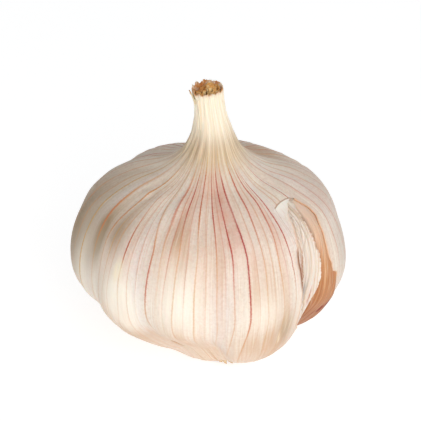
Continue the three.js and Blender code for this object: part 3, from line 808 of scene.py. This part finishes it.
# the clove that shows in the tear
clove = {
    "angle": 77.0, "foot": 6.8, "tip": 43.0, "halfWidth": 12.6, "halfDepth": 8.6, "skinDepth": 0.95,
    "tipNarrowing": 0.15, "innerTaper": 0.35, "roundness": 0.6, "around": 200, "along": 150,
    # where the wrapper starts to cover it on the right, and the sheet on the left: height, bearing
    "limit": [(7, 80), (9, 84), (12, 82), (16, 75), (22, 71), (25, 71), (26.5, 66), (30, 63), (36, 62.5),
              (40, 64.8)],
    "sheet": [(18, 51), (22, 55), (26, 57.3), (29, 57.3), (31, 56.7), (33.7, 55.2), (37, 53.6), (39.2, 53.9),
              (40.7, 55.6), (41.6, 57.8), (42.4, 61)],
    "look": {
        "noises": {"streaks": ("fibre", 1.1, 5, 0.65, 0.06), "fine": ("fibre", 4.0, 4, 0.65, 0.05),
                   "blotch": ("fibre", 1.4, 3, 0.6, 0.3), "mottle": ("place", 300, 4, 0.6)},
        "masks": {"stain": ("ADD", "scar", ("blotch", 0.3, 0.7, -0.35, 0.35))},
        "coats": [
            (176, 108, 58), ("streaks", 0.3, 0.5, 1, (204, 144, 92)),
            ("streaks", 0.5, 0.7, 1, (230, 184, 138)), ("fine", 0.5, 0.66, 0.6, (246, 218, 190)),
            ("fine", 0.46, 0.34, 0.45, (160, 92, 46)), ("mottle", 0.5, 0.75, 0.3, (196, 122, 76)),
            ("along", 0.55, 0.82, 0.9, (232, 206, 186)), ("along", 0.62, 0.28, 0.75, (156, 92, 52)),
            ("stain", 0.3, 0.75, 1, (138, 52, 8)),
        ],
        "relief": {"streaks": 1, "fine": 0.5}, "bump": (0.5, 0.12), "roughness": 0.45,
        "sockets": {"Specular IOR Level": 0.25, "Subsurface Weight": 0.1, "Subsurface Scale": 0.002},
    },
}


def cloveGrid():
    # rings of a wedge section from foot to tip, close under the wrapper, with a tiny flat cap at each end
    a, v = np.meshgrid(np.radians(np.linspace(0, 360, clove["around"], endpoint=False)),
                       np.linspace(0.001, 0.999, clove["along"]))
    share = (1 - np.cos(np.pi * v)) / 2
    z = clove["foot"] + (clove["tip"] - clove["foot"]) * share
    belly = np.sin(np.pi * v) ** clove["roundness"]
    narrowed = (1 - clove["tipNarrowing"] * share) * belly
    wide, deep = clove["halfWidth"] * narrowed, clove["halfDepth"] * narrowed
    across = wide * np.sin(a) * (1 - clove["innerTaper"] * (1 - np.cos(a)) / 2)
    out = radiusAt(clove["angle"], z[:, :1]) - clove["skinDepth"] - deep + deep * np.cos(a)
    bearing = clove["angle"] + np.degrees(np.arctan2(across, out))
    radius = np.hypot(across, out)
    # its outer side fills out the wrapper from within, and stands just proud of it near the foot, but sinks
    # under the wrapper beyond the limit and under the sheet
    skin = radiusAt(bearing, z)
    limit, sheet = [np.interp(z, *np.array(clove[key]).T) for key in ("limit", "sheet")]
    covered = smooth(bearing, limit - 3, limit)
    proud = 0.5 * smooth(z, 25, 17) + 1.3 * bell(z, 11, 3.4) * bell(bearing, 71, 10)
    cover = skin - 0.14 - 0.34 * smooth(z, 36, 41) + proud * (1 - covered) - 0.06 * covered
    cover = cover - 0.3 * smooth(bearing, limit + 1, limit + 6) - 0.75 * smooth(bearing, sheet + 2.6, sheet)
    near = smooth(bearing, 47, 53) * smooth(bearing, 103, 97) * smooth(np.cos(a), -0.3, 0.3)
    radius = radius + np.maximum(cover - radius, 0) * near * smooth(v, 0.01, 0.13) * smooth(v, 1, 0.9)
    radius = radius + np.minimum(skin - 0.55 - radius, 0) * smooth(bearing, limit + 1.5, limit + 3.5)
    wrinkle = 0.07 * waves(np.degrees(a), v, 71, (20, 60), (0.3, 1.5))
    radius = radius + (wrinkle + 0.12 * waves(np.degrees(a), v, 72, (3, 8), (1, 2))) * belly
    return about(bearing, radius, z), {
        "along": v,
        "scar": bell(z, 14.3 + 0.16 * (bearing - 66), 1.4) * bell(bearing, 68.5, 6.5),
        "fibre": np.stack([12 * np.cos(a), 12 * np.sin(a), 40 * v], -1),
    }


print("clove: streaked orange skin")
cloveSkin = makePaint("orange_clove_skin", clove["look"])
exposedClove = gridPiece("clove_in_skin", "clove_skin", cloveSkin, *cloveGrid(), closed=True,
                         caps=(0, clove["along"] - 1))
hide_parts("exposed_clove")


# the skin behind the clove and the inner sheet: its reach in degrees and profile shares, and its depth
pocket = {"left": 26.0, "right": 106.0, "low": 0.05, "high": 0.56, "rim": 0.5, "depth": 3.4}


def pocketGrid(rows=50, columns=60):
    # a shallow bowl: the wrapper's form sunk to the full depth, but near its edges only to the rim's
    angle, share = np.meshgrid(np.linspace(pocket["left"], pocket["right"], columns),
                               np.linspace(pocket["low"], pocket["high"], rows))
    sunk = np.minimum(smooth(angle, 26, 34), smooth(angle, 106, 98)) * smooth(share, 0.05, 0.08)
    depth = pocket["rim"] + (pocket["depth"] - pocket["rim"]) * sunk * smooth(share, 0.56, 0.53)
    depth = depth + 0.15 * waves(angle, share, 81, (20, 40), (1, 3))
    # the whole pocket is painted half grey: painted shade in the recess
    return underWrapper(angle, share, depth), {"torn": 0, "line": 0, "sliver": 0, "hollow_shade": 0.6,
                                               "fibre": fibreOf(angle, share)}


gridPiece("pocket_skin", "inner_skin", skinPaint, *pocketGrid())


# the rolled leaves at the cut of the neck
sheaths = {
    "turns": 3.6, "outer": 2.95, "inner": 0.4, "widest": 2.55, "narrowest": 0.12, "floor": 60.5,
    "thickness": 0.16,
    "look": {
        "noises": {"mottle": ("place", 900, 4, 0.65), "coarse": ("place", 380, 3, 0.5)},
        "masks": {"cream": ("MULTIPLY", "pale", ("under", 0.1, 0.3, 0.1, 0.9))},
        "coats": [
            (196, 124, 48), ("coarse", 0.3, 0.5, 1, (228, 164, 84)),
            ("coarse", 0.5, 0.7, 1, (252, 214, 146)), ("mottle", 0.45, 0.75, 0.45, (168, 98, 36)),
            # the under coat is painted shade: darker brown the deeper a point lies below the leaves' rim
            ("cream", 1, (255, 236, 184)), ("under", 0.8, 2.2, 0.85, (150, 88, 36)),
        ],
        "relief": {"mottle": 1}, "bump": (0.5, 0.1), "roughness": 0.75,
        "sockets": {"Specular IOR Level": 0.3},
    },
}


def sheathGrid(columns=620):
    # one sheet rolled into a spiral, crumpled, its rim torn
    v = np.concatenate([np.linspace(0, 0.7, 6)[:-1], np.linspace(0.7, 1, 10)])[:, None]
    turns = np.linspace(0, sheaths["turns"], columns) + 0 * v
    share = turns / sheaths["turns"]
    angle = 360 * turns
    rng = np.random.default_rng(91)
    crumple = 0
    for k in (1.7, 2.9, 4.3, 6.1, 9.7):
        crumple = crumple + np.cos(2 * np.pi * (k * turns + rng.uniform())) / (1 + 0.06 * k)
    loose = smooth(v, 0.3, 1.0)
    radius = sheaths["outer"] + (sheaths["inner"] - sheaths["outer"]) * share ** 0.9
    radius = radius * (1 - 0.05 * loose) + 0.24 * crumple * (0.35 + 0.65 * loose) * smooth(share, 0, 0.04)
    radius = np.clip(radius, sheaths["narrowest"], sheaths["widest"])
    tilt = 64.0 + 0.5 * np.cos(np.radians(angle - 120)) - 0.7 * bell(turned(angle, -35), 0, 55)
    rim = tilt + 0.42 * ragged(turns, 92, 22) + 0.2 * ragged(turns, 93, 80) + 0.1 * share
    z = sheaths["floor"] + (rim - sheaths["floor"]) * v
    pale = np.clip(0.75 + 0.8 * ragged(turns, 94, 40), 0, 1)
    # under: depth below the rim, which the paint darkens as painted shade
    return about(angle, radius, z), {"under": rim - z, "pale": pale}


print("neck: rolled leaves")
neckLeaves = gridPiece("rolled_neck_leaves", "cut_sheaths", makePaint("dry_cut_leaves", sheaths["look"]),
                       *sheathGrid())
thicken(neckLeaves, sheaths["thickness"], 0.0)
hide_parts("neck_sheaths")


# a bit of outer skin that has come loose at the left of the cut
flake = {
    "angle": -72, "halfWidth": 16, "low": 60.9, "height": 3.3, "radius": 3.3, "flare": 0.95, "thickness": 0.1,
    "look": {
        "noises": {"mottle": ("place", 900, 4, 0.65)},
        "coats": [(240, 222, 186), ("mottle", 0.4, 0.7, 0.6, (214, 184, 134)),
                  ("under", 0.35, 0.14, 0.7, (196, 140, 80))],
        "relief": {"mottle": 1}, "bump": (0.4, 0.1), "roughness": 0.6,
        "sockets": {"Specular IOR Level": 0.3},
    },
}


def flakeGrid(rows=22, columns=16):
    # a strip that narrows, leans over and bends outwards as it rises to a torn end
    u, v = np.meshgrid(np.linspace(-1, 1, columns), np.linspace(0, 1, rows))
    angle = flake["angle"] + u * (flake["halfWidth"] - 6 * v) + 5 * v
    z = flake["low"] + v * (flake["height"] + 0.35 * ragged(u, 96, 7)) - 0.25 * u ** 2
    radius = flake["radius"] + flake["flare"] * v ** 1.6 + 0.12 * np.cos(3.5 * u + 2 * v) + 0.25 * v * u
    return about(angle, radius, z), {"under": 0.12 + 1.2 * (1 - v)}


flakePaint = makePaint("loose_flake", flake["look"])
thicken(gridPiece("loose_neck_flake", "wrapper", flakePaint, *flakeGrid()), flake["thickness"], 0.0)


# the corky disc with trimmed roots, and a fringe of old skin in front of it
rootPlate = {
    # rings from the middle of the underside over the rim to the middle of the top: radius, height
    "rings": [(0.02, 0.25), (2.5, 0.22), (4.5, 0.12), (6.5, 0.02), (8.0, 0.0), (8.6, 0.0), (9.1, 0.35),
              (9.3, 0.9), (9.2, 1.6), (8.8, 2.1), (8.0, 2.4), (4.0, 2.4), (0.02, 2.4)],
    "stubs": 46, "seed": 101, "rim": 8.7, "longest": 2.7,
    "fringe": (-17.0, 15.0), "fringeRadius": 10.8, "fringeTop": 1.5, "fringeThickness": 0.08,
    "look": {
        "noises": {"coarse": ("place", 420, 5, 0.65), "fine": ("place", 1500, 3, 0.6)},
        "coats": [(122, 84, 50), ("coarse", 0.3, 0.5, 1, (172, 130, 86)),
                  ("coarse", 0.5, 0.7, 1, (206, 170, 122)), ("fine", 0.5, 0.75, 0.5, (98, 66, 40))],
        "relief": {"coarse": 1}, "bump": (0.7, 0.3), "roughness": 0.85,
        "sockets": {"Specular IOR Level": 0.25},
    },
}


def rootGrid(columns=120):
    # the dictionary's rings turned about the axis, roughened by waves everywhere but on the ground
    angle = np.linspace(0, 360, columns, endpoint=False)[None, :]
    r, z = [c[:, None] + 0 * angle for c in np.array(rootPlate["rings"]).T]
    angle = angle + 0 * r
    radius = r + 0.12 * (waves(angle, r / 10, 102, (9, 22), (1, 4)) - 1) * smooth(r, 3, 7)
    rough = 0.1 * waves(angle, r / 10, 103, (7, 20), (1, 5)) * (z > 0.01) * smooth(r, 0.5, 3)
    a = np.radians(angle)
    return np.stack([radius * np.sin(a), -radius * np.cos(a), np.maximum(z + rough, 0)], -1), {}


def stubLines():
    # trimmed roots round the plate's rim: each runs outwards and a little down, bent sideways at random
    rng = np.random.default_rng(rootPlate["seed"])
    count = rootPlate["stubs"]

    def drawn(low, high):
        return rng.uniform(low, high, count)[:, None]
    s = np.linspace(0, 1, 5)
    angle = (np.arange(count) * 360 / count)[:, None] + drawn(-3, 3)
    reach, bend = drawn(0.5, 1.3), drawn(-6, 6)
    reach[-1] = rootPlate["longest"]
    a = np.radians(angle + bend * s ** 2)
    r = rootPlate["rim"] + reach * s
    z = drawn(0.75, 1.5) - drawn(0, 0.35) * s
    return np.stack([r * np.sin(a), -r * np.cos(a), z], -1), drawn(0.22, 0.36) * (1 - 0.3 * s)


def fringeGrid(rows=14, columns=110):
    # a torn strip of old skin round the front of the foot, hung from under the lobes, its lower edge ragged
    start, end = rootPlate["fringe"]
    angle, v = np.meshgrid(np.linspace(start, end, columns), np.linspace(0, 1, rows))
    ends = smooth(angle, start, start + 5) * smooth(angle, end, end - 5)
    drop = (0.8 + 0.5 * ragged(angle, 104, 18) + 0.25 * ragged(angle, 105, 44)) * ends
    z = np.maximum(rootPlate["fringeTop"] - 1.1 * v * np.clip(drop, 0.1, 1.2), 0.06)
    radius = rootPlate["fringeRadius"] + 0.6 * v * drop + 0.12 * np.cos(np.radians(angle * 19)) * v
    return about(angle, radius, z), {"under": 1.1 * (1 - v) + 0.1}


print("root plate, cut roots and a fringe of old skin")
rootFinish = makePaint("dry_root_plate", rootPlate["look"])
rootDisc = gridPiece("corky_root_plate", "root", rootFinish, *rootGrid(), closed=True,
                     caps=(0, len(rootPlate["rings"]) - 1))
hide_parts("root_plate")
tubesPiece("cut_root_stubs", "root", rootFinish, *stubLines())
thicken(gridPiece("foot_fringe", "wrapper", flakePaint, *fringeGrid()), rootPlate["fringeThickness"], 0.0)


# floor, light tent and key light: metres for the floor, mm and watts for the light
stageLook = {
    "floorSize": 6.0,
    "floorLook": {"coats": [(190, 191, 192)], "roughness": 0.9,
                  "sockets": {"Emission Color": (255, 255, 255), "Emission Strength": 0.68}},
    # the tent's light: the side it comes from, then how its strength spans that slope and the height
    "brightSide": (0.46, -0.38, 0.62), "tent": (-0.8, 0.8, 0.04, 0.7), "horizon": (0.14, 0.105, 0.0, 0.42),
    "key": (70, -370, 210), "keyAim": (0, 0, 25), "keySize": 240, "keyPower": 0.7,
    "keyColour": (1.0, 0.97, 0.93),
}
# in mm and degrees, straight in front
camera = {"elevation": 28.0, "distance": 397.0, "target": (-3.96, 0.0, 33.9), "lens": 150.0, "sensor": 36.0}


def makeFloor():
    # a flat square that glows faintly, so that it stays near white
    half = stageLook["floorSize"] / 2
    me = bpy.data.meshes.new("floor")
    corners = [(-half, -half, 0), (half, -half, 0), (half, half, 0), (-half, half, 0)]
    me.from_pydata(corners, [], [(0, 1, 2, 3)])
    me.materials.append(makePaint("pale_floor", stageLook["floorLook"]))
    floor = bpy.data.objects.new("floor", me)
    bpy.context.scene.collection.objects.link(floor)


def makeWorld():
    # a light tent: its strength rises towards the bright side, with more added at and below the horizon
    world = bpy.data.worlds.new("tent")
    world.use_nodes = True
    n = Nodes(world.node_tree)
    way = n.node("ShaderNodeTexCoord").outputs["Generated"]
    slope = n.node("ShaderNodeVectorMath", {0: way, 1: stageLook["brightSide"]}, operation="DOT_PRODUCT")
    height = n.node("ShaderNodeSeparateXYZ", {"Vector": way}).outputs["Z"]
    tent = n.span(slope.outputs["Value"], *stageLook["tent"])
    background = n.tree.nodes["Background"]
    n.feed(background.inputs["Strength"], n.math("ADD", tent, n.span(height, *stageLook["horizon"])))
    n.feed(background.inputs["Color"], (255, 255, 255))
    bpy.context.scene.world = world


def stood(name, data, place, towards):
    # a lamp or camera at a place in mm, its -Z axis turned along a direction
    thing = bpy.data.objects.new(name, data)
    thing.location = place * mm
    thing.rotation_mode = "QUATERNION"
    thing.rotation_quaternion = towards.to_track_quat("-Z", "Y")
    bpy.context.scene.collection.objects.link(thing)
    return thing


def makeLamp():
    # one square area light, aimed at the bulb's middle
    data = bpy.data.lights.new("key", "AREA")
    data.energy, data.color = stageLook["keyPower"], stageLook["keyColour"]
    data.size = stageLook["keySize"] * mm
    place = Vector(stageLook["key"])
    stood("key", data, place, Vector(stageLook["keyAim"]) - place)


def makeCamera():
    # at its distance from the target and raised by its elevation, looking at the target
    data = bpy.data.cameras.new("camera")
    data.lens, data.sensor_width = camera["lens"], camera["sensor"]
    data.clip_start, data.clip_end = 0.01, 20  # metres
    e = math.radians(camera["elevation"])
    back = Vector((0, -math.cos(e), math.sin(e)))
    place = Vector(camera["target"]) + back * camera["distance"]
    bpy.context.scene.camera = stood("camera", data, place, -back)


print("stage: floor, tent light and camera")
makeFloor()
makeWorld()
makeLamp()
makeCamera()
bpy.context.scene.view_settings.view_transform = "Standard"
